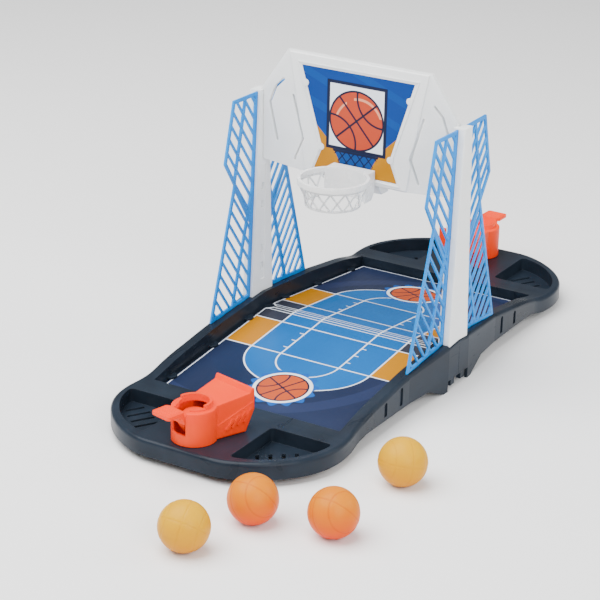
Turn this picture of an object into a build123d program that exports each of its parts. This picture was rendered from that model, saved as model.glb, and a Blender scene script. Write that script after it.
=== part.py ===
from build123d import *
import math
import os

# Two-player table-top basketball game: a tray in two equal halves, two towers,
# one backboard with a hoop on each face, and a finger launcher for each player.
# Millimetres. Z is up and the floor is Z = 0. The origin is on the floor under
# the middle of the backboard, X runs across the court, Y along it, and the
# front player sits at -Y. The rear half is the front half turned by 180 degrees.

# ---- tray ----
half_length = 195.5       # middle of the court to a player's end
lobe_half_width = 74.6    # widest place, beside the pockets
side_half_width = 72.5    # straight side walls
centre_half_width = 76.0  # side walls bow out where the towers stand
wall = 2.0                # tray moulding thickness
deck_height = 15.0        # flat top of the players' ends
rim_height = 31.0         # top of the side rim at the middle
rim_mid = (57.0, 26.5)    # rim top: distance from the middle, height
rim_low = (105.0, 19.8)
deck_start = 133.0        # the rim has come down to the deck here
seam_gap = 0.2            # between the two halves
edge_round = 2.4          # rounded outer top edge
lift = 7.8                # side wall stops this far above the floor
lobe_lift = 4.7           # and the wall round a player's end this far
foot_near, foot_far = 13.0, 35.0   # moulded feet beside the middle
foot_flat = 5.0           # part of each that stands on the floor
arch_height = 7.2         # opening in the wall at the middle
round_foot = 5.0          # hollow round feet under the players' ends
round_foot_place = (20.0, 150.0)
seam_foot_half = 8.0      # ribbed foot under the seam between the halves
boss_depth = 0.8          # swivel boss, below the deck's underside
groove_places = (66.5, 85.4)   # two grooves pressed in each side wall
groove_half, groove_depth = 1.6, 1.1
drain_count = 5           # slots in each pocket's floor
drain_wide = 2.2
drain_pitch = (6.0, 4.6)  # one slot to the next, inward and toward the player
drain_right = (58.6, 147.6, 10.0)   # first slot: from the middle line, from the middle, length
drain_left = (61.0, 150.2, 15.0)
tongue_near, tongue_far = 14.0, 40.0   # tongue that joins the halves, either side
tongue_reach = 9.0        # its reach under the other half
tongue_low, tongue_high = 8.4, 11.4

# ---- court ----
court_half_width = 63.0
court_end = 124.0
court_height = 22.0       # card face at the middle
court_fall = 0.102        # drop for each millimetre toward the player
card_thick = 0.8
card_clear = 0.15
well_half_width = 64.5
well_end = 125.5
card_corner = 5.0
tab_radius = 4.0          # half-round card keepers on the well's walls
tab_thick = 1.2
tab_places = (22.0, 63.0, 108.0)

# ---- pockets for spare balls ----
pocket_inner = 29.3
pocket_front = 142.0
pocket_depth = 8.5
pocket_wall = 1.6

# ---- towers ----
panel_x = 70.0            # middle plane of the lattice panels
panel_thick = 1.3
panel_top_inner = 165.0
panel_top = (32.0, 165.4)   # outer top corner: distance from the middle, height
panel_kink = (41.7, 126.9)
panel_waist = (30.7, 110.5)
panel_foot = 57.0         # outer bottom corner
bar_wide = 2.2            # frame of the lattice
bar_thin = 1.4            # slanted bars
bar_pitch = 11.0          # their spacing, measured upright
bar_slope = 1.32          # their fall for each millimetre toward the column
peg_length, peg_depth = 8.0, 4.0
peg_places = (21.0, 46.0)
plug_clear = 0.15         # around everything that plugs in
column_inner, column_outer = 67.4, 75.2
column_foot = 12.0        # half width at the foot
column_head = 5.0         # half width at the head
column_top = 166.0
socket_depth = 6.0
tongue = 1.2              # how far a panel's edge goes into the column

# ---- backboard ----
board_top = 194.5
board_top_half = 50.0
wing_top = 167.0
wing_bottom = 121.5
board_bottom = 118.3
board_bottom_half = 34.0
shell_thick = 2.4         # each of the two board shells
board_card = ((39.0, 186.7), (23.5, 136.4), (29.1, 122.9))  # half outline of the card
board_card_thick = 0.5
wing_plug = 1.6           # how far the board's wing goes into the column
slot_wide = 1.8           # see-through slots in the wings, right-hand side
slot_runs = (
    ((45.6, 165.9), (37.7, 139.4), (43.7, 125.2)),
    ((52.7, 175.2), (58.4, 169.5), (62.4, 159.0), (60.6, 151.5), (56.6, 135.5)),
)
board_screw_x = 50.0
board_screw_z = (130.0, 180.0)
screw_post = 2.6

# ---- hoops ----
ball_radius = 14.2
ring_reach = 28.4         # backboard middle to ring centre
ring_height = 128.7       # top of the ring
ring_outer = 22.0
ring_wall = 2.0
ring_band = 3.4
bracket_half = 14.4
bracket_drop = 18.0
net_height = 13.6
net_cells = 14
net_strand = 1.1
clip_x, clip_z = 8.0, 120.6   # clips that hold the hoop: middle and underside
clip_half, clip_thick = 3.0, 2.0
net_taper = 4.2           # the net is this much narrower at its foot

# ---- launchers ----
pivot_reach = 178.0       # backboard middle to the swivel axis
front_heading = -13.0     # degrees about Z at rest
rear_heading = -1.0
swivel_each_way = 30.0
drum_radius = 13.2
drum_height = 21.0
housing_wall = 1.6
nose_reach = 32.6
nose_half = 15.1
waist_half = 9.0
nose_height = 25.8
nose_lip = 2.4            # raised lip across the nose's top end
ring_hole = 8.7           # ball seat in the top of the drum
ride = 0.3                # gap under everything that turns on the deck
spigot_radius = 4.0
running = 0.1             # radial clearance of turning fits
pin_radius = 1.5
pin_back = 5.0            # lever pin, behind the swivel axis
pin_height = 13.0
pin_half_length = 10.6    # its ends stay inside the housing's flanks
lever_thick = 2.4
lever_half = 5.3
neck_clear = 0.3          # either side of the lever's neck in its slot
barrel_half = 5.9         # half length of the lever's pivot barrel
boss_face = 6.3           # inner faces of the housing's two pin bosses
paddle_reach = 26.0
paddle_rise = 2.0         # paddle's top above the drum
paddle_half = 7.2
paddle_neck = 13.6        # the paddle's near end, just clear of the drum
slot_foot = 7.0           # bottom of the lever's slot
leaf_bend, leaf_back = 4.2, 10.6   # its bend and its far end, behind the swivel axis
screw_radius = 1.3
stop_radius = 1.5         # stop peg under the drum
stop_ring = 9.4           # its distance from the swivel axis
collar_rise = 2.9         # front half of the collar, above the drum
gill_count, gill_pitch = 4, 4.0
plate_thick = 1.7
striker_half = 6.8        # cup under the ball
striker_ahead = 0.6       # its middle, ahead of the swivel axis
leaf_thick, leaf_half = 0.6, 2.5   # return spring, a moulded leaf
spigot_depth = wall + 0.4 + boss_depth + ride   # through the deck and its boss
screw_flange = 5.6
up = (Align.CENTER, Align.CENTER, Align.MIN)    # stands a cylinder on its own Z = 0


def prism(points, x_from, x_to):
    """Extrude an outline given in the YZ plane between two X values."""
    corners = [(x_from, y, z) for y, z in points]
    face = make_face(Polyline(*corners, close=True))
    return extrude(face, amount=x_to - x_from, dir=(1, 0, 0))


def plate(points, y_from, y_to):
    """Extrude an outline given in the XZ plane between two Y values."""
    corners = [(x, y_from, z) for x, z in points]
    face = make_face(Polyline(*corners, close=True))
    return extrude(face, amount=y_to - y_from, dir=(0, 1, 0))


def block(x0, x1, y0, y1, z0, z1):
    """Box between two corners."""
    middle = ((x0 + x1) / 2, (y0 + y1) / 2, (z0 + z1) / 2)
    return Pos(*middle) * Box(abs(x1 - x0), abs(y1 - y0), abs(z1 - z0))


def rod(start, end, radius):
    """Round bar between two points."""
    start, end = Vector(*start), Vector(*end)
    run = end - start
    axis = Plane(origin=start, z_dir=run)
    return extrude(axis * Circle(radius), amount=run.length)


def mirrored(points):
    """Close a half outline (right side, top to bottom) with its mirror image."""
    return list(points) + [(-x, z) for x, z in reversed(points)]


def bar(start, end, width):
    """Flat strip in the YZ plane from one point to another, as an outline."""
    run = math.dist(start, end)
    side = (-(end[1] - start[1]) / run * width / 2, (end[0] - start[0]) / run * width / 2)
    return [
        (start[0] + side[0], start[1] + side[1]),
        (end[0] + side[0], end[1] + side[1]),
        (end[0] - side[0], end[1] - side[1]),
        (start[0] - side[0], start[1] - side[1]),
    ]


def shifted(points, distance):
    """Move the points of an open outline sideways, to the right of its direction of travel."""
    moved = []
    for index, (x, y) in enumerate(points):
        before, after = points[max(index - 1, 0)], points[min(index + 1, len(points) - 1)]
        run = math.dist(before, after)
        right = ((after[1] - before[1]) / run, -(after[0] - before[0]) / run)
        moved.append((x + right[0] * distance, y + right[1] * distance))
    return moved


def turned(shape):
    """The same piece on the other player's side."""
    return shape.rotate(Axis.Z, 180)


def rim_at(distance):
    """Height of the side rim at a distance from the middle, straight between its knots."""
    knots = [(0.0, rim_height), rim_mid, rim_low, (deck_start, deck_height)]
    for (near, high), (far, low) in zip(knots, knots[1:]):
        if distance <= far:
            return high + (low - high) * (distance - near) / (far - near)
    return deck_height


def court_at(distance):
    """Height of the card face at a distance from the middle."""
    return court_height - court_fall * distance


court_tilt = math.degrees(math.atan(court_fall))
card_drop = card_thick / math.cos(math.radians(court_tilt))


# ======== tray ========
def tray_plan(inset=0.0):
    """Outline of the front half seen from above, or the same outline further in."""
    end_flat = 21.0
    start = (side_half_width, -116.0)
    bend = [
        start,
        (side_half_width + 1.0, -126.0),
        (lobe_half_width, -139.0),
        (lobe_half_width - 3.0, -(half_length - 38.5)),
        (lobe_half_width - 17.6, -(half_length - 17.0)),
        (lobe_half_width - 35.0, -(half_length - 4.8)),
        (end_flat, -half_length),
    ]
    bend = shifted(bend, inset)
    bend[0] = (side_half_width - inset, start[1])
    bend[-1] = (end_flat, inset - half_length)
    corner = (centre_half_width - inset, -seam_gap / 2 - inset)
    flat = (centre_half_width - inset, -foot_near)
    side = (side_half_width - inset, -rim_mid[0])
    right = [bend[0], side, flat, corner]
    edges = Spline(*bend, tangents=[(0, -1), (-1, 0)])
    edges += Polyline(*right, *[(-x, y) for x, y in reversed(right)])
    edges += Spline(*[(-x, y) for x, y in bend], tangents=[(0, -1), (1, 0)])
    edges += Line(bend[-1], (-bend[-1][0], bend[-1][1]))
    return make_face(edges)


def tray_profile(drop):
    """Side view of the tray's top, lowered by drop, as a solid across the tray."""
    reach = lobe_half_width + 10.0
    straight = [(rim_mid[0] * share / 3, rim_at(rim_mid[0] * share / 3)) for share in range(4)]
    top = straight + [(81.0, 23.35), rim_low, (deck_start, deck_height)]
    fall = (rim_height - rim_mid[1]) / rim_mid[0]
    spline = Spline(*[(-reach, -y, z - drop) for y, z in top], tangents=[(0, -1, -fall), (0, -1, 0)])
    low = -10.0
    rest = Polyline(
        (-reach, -deck_start, deck_height - drop),
        (-reach, -half_length - 5, deck_height - drop),
        (-reach, -half_length - 5, low),
        (-reach, 0, low),
        (-reach, 0, rim_height - drop),
    )
    return extrude(make_face(spline + rest), amount=2 * reach, dir=(1, 0, 0))


def pocket_plan(grow=0.0):
    """Outline of one ball pocket: two straight sides and one that follows the tray's edge."""
    curve = [
        (lobe_half_width - 5.0, -pocket_front),
        (lobe_half_width - 7.6, -(pocket_front + 13.0)),
        (lobe_half_width - 14.0, -(pocket_front + 24.5)),
        (lobe_half_width - 24.5, -(pocket_front + 35.5)),
        (pocket_inner, -(half_length - 8.6)),
    ]
    curve = shifted(curve, -grow)
    curve[0] = (curve[0][0], grow - pocket_front)
    curve[-1] = (pocket_inner - grow, curve[-1][1])
    square = (pocket_inner - grow, grow - pocket_front)
    edges = Spline(*curve) + Polyline(curve[-1], square, curve[0])
    return fillet(make_face(edges).vertices(), 2.6 + grow)


def below_court(down, half_width, end):
    """Everything under the court's card face, lowered by down."""
    points = [
        (0, court_at(0) - down),
        (-end, court_at(end) - down),
        (-end, -20),
        (0, -20),
    ]
    return prism(points, -half_width, half_width)


def base_half():
    plan = tray_plan()
    outer = extrude(plan, amount=rim_height + 5) & tray_profile(0)
    rim_edges = [
        edge for edge in outer.edges()
        if edge.center().Z > deck_height - 1
        and edge.center().Y < -1
        and abs(edge.tangent_at(0.5).Z) < 0.9
        and not (abs(edge.center().X) < 1 and abs(edge.center().Y + deck_start) < 1)
    ]
    outer = fillet(rim_edges, edge_round)

    # hollow of the moulding, open underneath
    hollow = Pos(0, 0, -1) * extrude(tray_plan(wall), amount=rim_height + 5) & tray_profile(wall + 0.4)
    tray_down = card_drop + wall
    well_block = block(-well_half_width - wall, well_half_width + wall, -well_end - wall, 5, -20, 60)
    under_card = below_court(tray_down, well_half_width + wall, well_end + wall)
    hollow = (hollow - well_block) + (hollow & under_card)

    # court well and ball pockets
    top_cut = block(-well_half_width, well_half_width, -well_end, 5, -20, 60)
    top_cut = top_cut - below_court(card_drop, well_half_width + 1, well_end + 1)
    pocket = extrude(Pos(0, 0, deck_height - pocket_depth) * pocket_plan(), amount=pocket_depth + 5)
    tub_floor = deck_height - pocket_depth - pocket_wall
    tub = extrude(Pos(0, 0, tub_floor) * pocket_plan(pocket_wall), amount=pocket_depth + pocket_wall)
    hollow = hollow - tub - tub.mirror(Plane.YZ)
    half = outer - top_cut - pocket - pocket.mirror(Plane.YZ) - hollow

    # wall lifted off the floor, apart from the feet beside the middle
    reach = lobe_half_width + 5
    skirt = Polyline(
        (-reach, -half_length - 5, lobe_lift),
        (-reach, -half_length - 5, -1),
        (-reach, -foot_near - foot_flat, -1),
        (-reach, -foot_near - foot_flat, 0),
        (-reach, -foot_far, lift),
        (-reach, -104, lift + 0.6),
    )
    sweep = Spline(
        (-reach, -104, lift + 0.6), (-reach, -117, 6.8), (-reach, -130, lobe_lift),
        tangents=[(0, -1, 0), (0, -1, 0)],
    )
    under_lobe = Line((-reach, -130, lobe_lift), (-reach, -half_length - 5, lobe_lift))
    skirt_face = make_face(skirt + sweep + under_lobe)
    half -= extrude(skirt_face, amount=2 * reach, dir=(1, 0, 0))
    half -= block(-reach, reach, -foot_near, 1, -1, arch_height)

    # release catches in the arch
    for side in (-1, 1):
        inner = side * (centre_half_width - 3.2)
        outer_x = side * (centre_half_width - 0.4)
        half += block(inner, outer_x, -9.0, -4.0, arch_height - 4.5, arch_height + 1)

    # hollow round feet under the player's end
    for side in (-1, 1):
        spot = Pos(side * round_foot_place[0], -round_foot_place[1], 0)
        post = Cylinder(round_foot, deck_height - wall, align=up)
        half += spot * (post - Pos(0, 0, 1.5) * Cylinder(round_foot - 1.6, deck_height, align=up))

    # cross ribs under the court
    for rib_y in (-45.0, -85.0):
        rib = block(-well_half_width, well_half_width, rib_y - wall / 2, rib_y + wall / 2, lift + 1, 40)
        half += rib & below_court(tray_down - 0.5, well_half_width, well_end)

    # two grooves pressed into each side wall
    for groove_y in groove_places:
        top = rim_at(groove_y) - 4.5
        for side in (-1, 1):
            face_x = side * side_half_width
            half -= block(face_x - side * groove_depth, face_x + side * 3,
                          -groove_y - groove_half, -groove_y + groove_half, lift + 3.0, top)
            cap = Pos(face_x + side * 1.1, -groove_y, top) * Rot(0, 90, 0) * Cylinder(groove_half, 3.8)
            half -= cap

    # keepers that hold the card's edge down
    for tab_y in tab_places:
        for side in (-1, 1):
            tab = Cylinder(tab_radius, tab_thick) & block(-tab_radius if side > 0 else -0.6,
                                                          0.6 if side > 0 else tab_radius,
                                                          -tab_radius, tab_radius, -2, 2)
            height = court_at(tab_y) + card_clear + tab_thick / 2
            half += Pos(side * well_half_width, -tab_y, height) * Rot(court_tilt, 0, 0) * tab

    # sockets for the tower feet, and the blocks they are cut in
    for side in (-1, 1):
        near = side * (column_inner - plug_clear)
        far = side * (column_outer + plug_clear)
        floor = rim_height - socket_depth
        half += block(side * well_half_width, side * (centre_half_width - 0.6),
                      -column_foot - 2, -seam_gap / 2, floor - wall, rim_height - 2.2)
        half -= block(near, far, -column_foot - plug_clear, 1, floor - plug_clear, rim_height + 5)

    # slots for the pegs of the lattice panels
    for peg_y in peg_places:
        top = rim_at(peg_y)
        for side in (-1, 1):
            x = side * panel_x
            half_slot = panel_thick / 2 + plug_clear
            run = peg_length / 2 + plug_clear
            half -= block(x - half_slot, x + half_slot, -peg_y - run, -peg_y + run, top - 8, top + 5)

    # swivel seat: bearing hole, its boss, and the arc that limits the swing
    seat = Pos(0, -pivot_reach, 0)
    under = deck_height - wall - 0.4
    half += seat * Pos(0, 0, under - boss_depth) * Cylinder(spigot_radius + 2.2, 1.2, align=up)
    half -= seat * Pos(0, 0, deck_height) * Cylinder(spigot_radius + running, 12)
    for step in range(-6, 7):
        angle = math.radians(-90 + step * swivel_each_way / 6)
        spot = (stop_ring * math.cos(angle), -pivot_reach + stop_ring * math.sin(angle), deck_height)
        half -= Pos(*spot) * Cylinder(stop_radius + 0.25, 8)

    # drain slots in the pocket floors, longer on the left; the first is short, beside the wall
    for side, (first_x, first_y, length) in ((1, drain_right), (-1, drain_left)):
        for step in range(drain_count):
            x = side * (first_x - drain_pitch[0] * step)
            y = -(first_y + drain_pitch[1] * step)
            slot = Rot(0, 0, -side * 58) * Box(length * (0.8 if step == 0 else 1), drain_wide, 6)
            half -= Pos(x, y, deck_height - pocket_depth) * slot

    # tongue and window that join the halves under the court
    half += block(tongue_near, tongue_far, -12, tongue_reach, tongue_low, tongue_high)
    half += block(tongue_near, tongue_far, tongue_reach - 2.6, tongue_reach,
                  tongue_high - 0.4, tongue_high + 1.2)
    under_court = court_at(2) - tray_down + 0.3
    half += block(tongue_near, tongue_far, -12, -seam_gap / 2 - wall, tongue_low, under_court)
    half -= block(-tongue_far - 0.4, -tongue_near + 0.4, -4, 1, tongue_low - 0.4, tongue_high + 1.8)

    # ribbed foot under the seam, a T seen from below
    half += block(-seam_foot_half, seam_foot_half, -seam_gap / 2 - wall, -seam_gap / 2, 0, under_court)
    half += block(-wall / 2, wall / 2, -12, -seam_gap / 2, 0, court_at(12) - tray_down + 0.3)
    return half


front_half = base_half()
pieces = {"base_half_front": front_half, "base_half_rear": turned(front_half)}


# ======== court cards ========
def court_card():
    """Printed card cut square at the player's end, with its corners off at the middle."""
    start = -seam_gap * 2
    end = -court_end / math.cos(math.radians(court_tilt))
    w, c = court_half_width, card_corner
    points = [(-w + c, start), (w - c, start), (w, start - c), (w, end), (-w, end), (-w, start - c)]
    flat = extrude(make_face(Polyline(*points, close=True)), amount=card_thick, dir=(0, 0, -1))
    return Pos(0, 0, court_height) * Rot(court_tilt, 0, 0) * flat


front_card = court_card()
pieces["court_card_front"] = front_card
pieces["court_card_rear"] = turned(front_card)


# ======== towers ========
def column_edge(z):
    """Half width of a tower column at a height."""
    share = (z - rim_height) / (column_top - rim_height)
    return column_foot + (column_head - column_foot) * share


def lattice_panel():
    """Right front panel: a frame, two crossing spines and slanted bars, pegged into the rim."""
    top_in = (-column_edge(panel_top_inner) - plug_clear, panel_top_inner)
    bottom_in = (-column_foot - plug_clear, rim_at(column_foot) + plug_clear)
    top_out = (-panel_top[0], panel_top[1])
    kink = (-panel_kink[0], panel_kink[1])
    waist = (-panel_waist[0], panel_waist[1])
    foot = (-panel_foot, rim_at(panel_foot) + plug_clear)
    outline = [top_in, top_out, kink, waist, foot, bottom_in]
    x0, x1 = panel_x - panel_thick / 2, panel_x + panel_thick / 2
    whole = prism(outline, x0, x1)
    bars = []
    ring = outline + [top_in]
    for start, end in zip(ring, ring[1:]):
        bars.append((start, end, 2 * bar_wide))

    def between(p, q, share):
        return (p[0] + (q[0] - p[0]) * share, p[1] + (q[1] - p[1]) * share)

    # spine from the middle of the top edge to the waist, and on down to the foot of the column
    top_mid = between(top_in, top_out, 0.48)
    column_mid = between(top_in, bottom_in, 0.64)
    bars.append((top_mid, waist, bar_wide))
    bars.append((kink, column_mid, bar_wide))
    foot_mid = between(foot, bottom_in, 0.56)
    bars.append((between(top_in, bottom_in, 0.42), foot_mid, bar_wide))
    # parallel bars that slant down toward the column
    reach = panel_foot + 5
    z = panel_top[1] + bar_slope * reach - bar_pitch / 2
    while z > rim_at(reach):
        bars.append(((-reach, z), (0.0, z - bar_slope * reach), bar_thin))
        z -= bar_pitch
    lattice = None
    for start, end, width in bars:
        strip = prism(bar(start, end, width), x0, x1)
        lattice = strip if lattice is None else lattice + strip
    panel = lattice & whole
    # tongue in the column's groove, and pegs in the rim's slots
    edge = [(y + tongue + plug_clear, z) for y, z in (top_in, bottom_in)]
    panel += prism([top_in, edge[0], edge[1], bottom_in], x0, x1)
    for peg_y in peg_places:
        top = rim_at(peg_y) + bar_wide / 2
        panel += block(x0, x1, -peg_y - peg_length / 2, -peg_y + peg_length / 2,
                       rim_at(peg_y) - peg_depth, top)
    return panel


def column():
    """Right tower column: a tapered shell with grooves for the panels and the board."""
    low = rim_height - socket_depth
    foot_half = column_edge(low)
    shape = [(-column_foot, low), (column_foot, low), (column_foot, rim_height),
             (column_head, column_top), (-column_head, column_top), (-column_foot, rim_height)]
    body = prism(shape, column_inner, column_outer)
    long_edges = [e for e in body.edges() if abs(e.center().X - column_outer) < 0.1]
    body = fillet(long_edges, 0.9)
    # groove for each panel's tongue
    for side in (-1, 1):
        low_end = rim_at(column_foot) - plug_clear
        high_end = panel_top_inner + plug_clear
        bite = tongue + 2 * plug_clear
        lip = [(side * (column_foot + 1), low_end), (side * (column_foot - bite), low_end),
               (side * (column_head - bite), high_end), (side * (column_head + 1), high_end)]
        body -= prism(lip, panel_x - panel_thick / 2 - plug_clear, panel_x + panel_thick / 2 + plug_clear)
    # slot for the backboard's wing, and the shallow channel with clip windows below it
    wing_slot = shell_thick - 1.2 + plug_clear
    body -= block(column_inner - 1, column_inner + wing_plug + plug_clear, -wing_slot, wing_slot,
                  wing_bottom - plug_clear, column_top + 1)
    body -= block(column_inner - 1, column_inner + 0.7, -2.6, 2.6, rim_height + 8, wing_bottom - 5)
    for z in (46.0, 58.0, 88.0, 100.0):
        body -= block(column_inner, column_inner + 2.4, -1.5, 1.5, z, z + 4.5)
    return body


panel_rf = lattice_panel()
right_column = column()
pieces["tower_column_right"] = right_column
pieces["tower_column_left"] = turned(right_column)
pieces["lattice_right_front"] = panel_rf
pieces["lattice_right_rear"] = panel_rf.mirror(Plane.XZ)
pieces["lattice_left_front"] = panel_rf.mirror(Plane.YZ)
pieces["lattice_left_rear"] = turned(panel_rf)


# ======== backboard ========
def board_outline(inset=0.0):
    """Eight-sided board seen from a player's seat."""
    end = column_inner + wing_plug - plug_clear
    half = [
        (board_top_half - inset, board_top - inset),
        (end - inset, wing_top - inset * 0.6),
        (end - inset, wing_bottom + inset),
        (board_bottom_half - inset * 0.3, board_bottom + inset),
    ]
    return mirrored(half)


def card_outline(grow=0.0):
    (top_x, top_z), (mid_x, mid_z), (low_x, low_z) = board_card
    half = [(top_x + grow * 1.6, top_z + grow), (mid_x + grow, mid_z), (low_x + grow, low_z - grow)]
    return mirrored(half)


def slot_strips(width, depth):
    """Strips that follow the see-through slots of both wings."""
    strips = None
    for run in slot_runs:
        for (x0, z0), (x1, z1) in zip(run, run[1:]):
            for side in (-1, 1):
                strip = plate(bar((side * x0, z0), (side * x1, z1), width), -depth, depth)
                strips = strip if strips is None else strips + strip
        for x, z in run:
            for side in (-1, 1):
                strips = strips + Pos(side * x, 0, z) * Rot(90, 0, 0) * Cylinder(width / 2, 2 * depth)
    return strips


def board_shell():
    """Front shell: wings, a raised middle, a recess for the card and its keepers."""
    face = -shell_thick
    split = -0.05
    end = column_inner + wing_plug - plug_clear
    shell = plate(board_outline(), face + 0.8, split)
    middle = mirrored([(board_top_half - 1.5, board_top - 0.6), (40.5, 150.0), (36.0, board_bottom + 0.4)])
    raised = plate(middle, face, face + 1.0)
    raised_edges = [e for e in raised.edges() if abs(e.center().Y - face) < 0.01]
    shell += chamfer(raised_edges, 0.5)
    # lip round the card, then the card's recess
    lip = plate(card_outline(2.2), face - 0.5, face + 0.2)
    lip -= plate(card_outline(1.5), face - 1, face)
    shell += lip
    shell -= plate(card_outline(plug_clear), face - 1, face + board_card_thick + 0.05)
    # hollow between the shells, with screw posts
    hollow = plate(board_outline(2.2), -1.15, 1)
    posts = None
    for x in (-board_screw_x, board_screw_x):
        for z in board_screw_z:
            post = Pos(x, 0, z) * Rot(90, 0, 0) * Cylinder(screw_post, 6)
            posts = post if posts is None else posts + post
    shell -= hollow - posts - slot_strips(slot_wide + 2.4, shell_thick)
    # slots in the foot of the board for the hoop's two clips
    half = clip_half + plug_clear
    for x in (-clip_x, clip_x):
        shell -= block(x - half, x + half, face - 2, 1,
                       clip_z - plug_clear, clip_z + clip_thick + plug_clear)
    # half-round keepers over the card's edge
    for x, z in ((36.3, 176.0), (24.4, 137.0)):
        for side in (-1, 1):
            keeper = Pos(side * x, face - 0.28, z) * Rot(90, 0, 0) * Cylinder(2.2, 0.5)
            shell += keeper - plate(card_outline(-3.4), face - 2, face + 2)
    # the wing's edge is thinned where it enters the column
    for side in (-1, 1):
        shell -= block(side * (column_inner - 0.3), side * (end + 2), face - 2, -1.2, 100, 200)
    return shell - slot_strips(slot_wide, shell_thick + 3)


front_shell = board_shell()
pieces["backboard_front_shell"] = front_shell
pieces["backboard_rear_shell"] = turned(front_shell)
card_face = plate(card_outline(), -shell_thick, -shell_thick + board_card_thick)
pieces["backboard_card_front"] = card_face
pieces["backboard_card_rear"] = turned(card_face)


# ======== hoops and nets ========
def hoop():
    """Ring with a deep wall at the back, on a bracket that clips into the board."""
    centre = Pos(0, -ring_reach, 0)
    inner = ring_outer - ring_wall
    low = ring_height - bracket_drop
    ring = centre * Pos(0, 0, ring_height - ring_band / 2) * (
        Cylinder(ring_outer, ring_band) - Cylinder(inner, ring_band + 1))
    back = block(-bracket_half, bracket_half, -ring_reach, -shell_thick - 0.6, low, ring_height)
    back -= centre * Pos(0, 0, ring_height) * Cylinder(inner, 60)
    slant = [(-shell_thick, low - 1), (-shell_thick - 4.6, low - 1), (-shell_thick, low + 6)]
    back -= prism(slant, -bracket_half - 1, bracket_half + 1)
    side_wall = bracket_half - 1.4
    back -= block(-side_wall, side_wall, -shell_thick - 3.6, -shell_thick, low - 1, ring_height - 1.4)
    whole = ring + back
    for x in (-clip_x, clip_x):
        whole += block(x - clip_half, x + clip_half, -shell_thick - 4.5, -shell_thick + 1.6,
                       clip_z, clip_z + clip_thick)
    return whole


def net():
    """Moulded net: crossing strands on a cone between a top and a bottom ring."""
    top_z = ring_height - ring_band - 0.05
    low_z = top_z - net_height
    top_r = ring_outer - ring_wall + 0.7
    low_r = top_r - net_taper
    centre = Pos(0, -ring_reach, 0)
    band = net_strand / 2
    shape = None
    for radius, z in ((top_r, top_z - band), (low_r, low_z + band)):
        loop = Cylinder(radius + band, 2 * band) - Cylinder(radius - band, 4)
        loop = centre * Pos(0, 0, z) * loop
        shape = loop if shape is None else shape + loop
    step = 2 * math.pi / net_cells
    for cell in range(net_cells):
        for lean in (-1, 1):
            a0 = cell * step + step / 2
            a1 = a0 + lean * step
            start = (top_r * math.cos(a0), -ring_reach + top_r * math.sin(a0), top_z - band)
            end = (low_r * math.cos(a1), -ring_reach + low_r * math.sin(a1), low_z + band)
            shape += rod(start, end, net_strand / 2)
    # nothing where the ring's deep back wall stands
    behind = block(-bracket_half - 0.3, bracket_half + 0.3, -ring_reach, 0, 90, 140)
    return shape - behind


front_hoop = hoop()
front_net = net()
pieces["hoop_front"] = front_hoop
pieces["hoop_rear"] = turned(front_hoop)
pieces["net_front"] = front_net
pieces["net_rear"] = turned(front_net)


# ======== launchers, in their own frame: swivel axis at the origin, deck at Z = 0, nose to +Y ========
def wedge(inset, low, top_drop, lip=0.0):
    """Box part of the housing, wider toward its nose, with or without the lip along its top end."""
    front = nose_reach - inset
    back_half, front_half_width = waist_half - inset, nose_half - inset
    sides = [(-back_half, 0), (-front_half_width, front), (front_half_width, front), (back_half, 0)]
    plan = extrude(Pos(0, 0, low) * make_face(Polyline(*sides, close=True)), amount=60)
    top, ridge = drum_height - top_drop, nose_height - nose_lip - top_drop
    profile = [
        (-5, low), (nose_reach - 5.6 - inset, low), (front, 13.0), (front, ridge + lip),
        (front - 1.4, ridge + lip), (front - 3.0, ridge - 0.2), (8, top), (-5, top),
    ]
    return plan & prism(profile, -40, 40)


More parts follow.
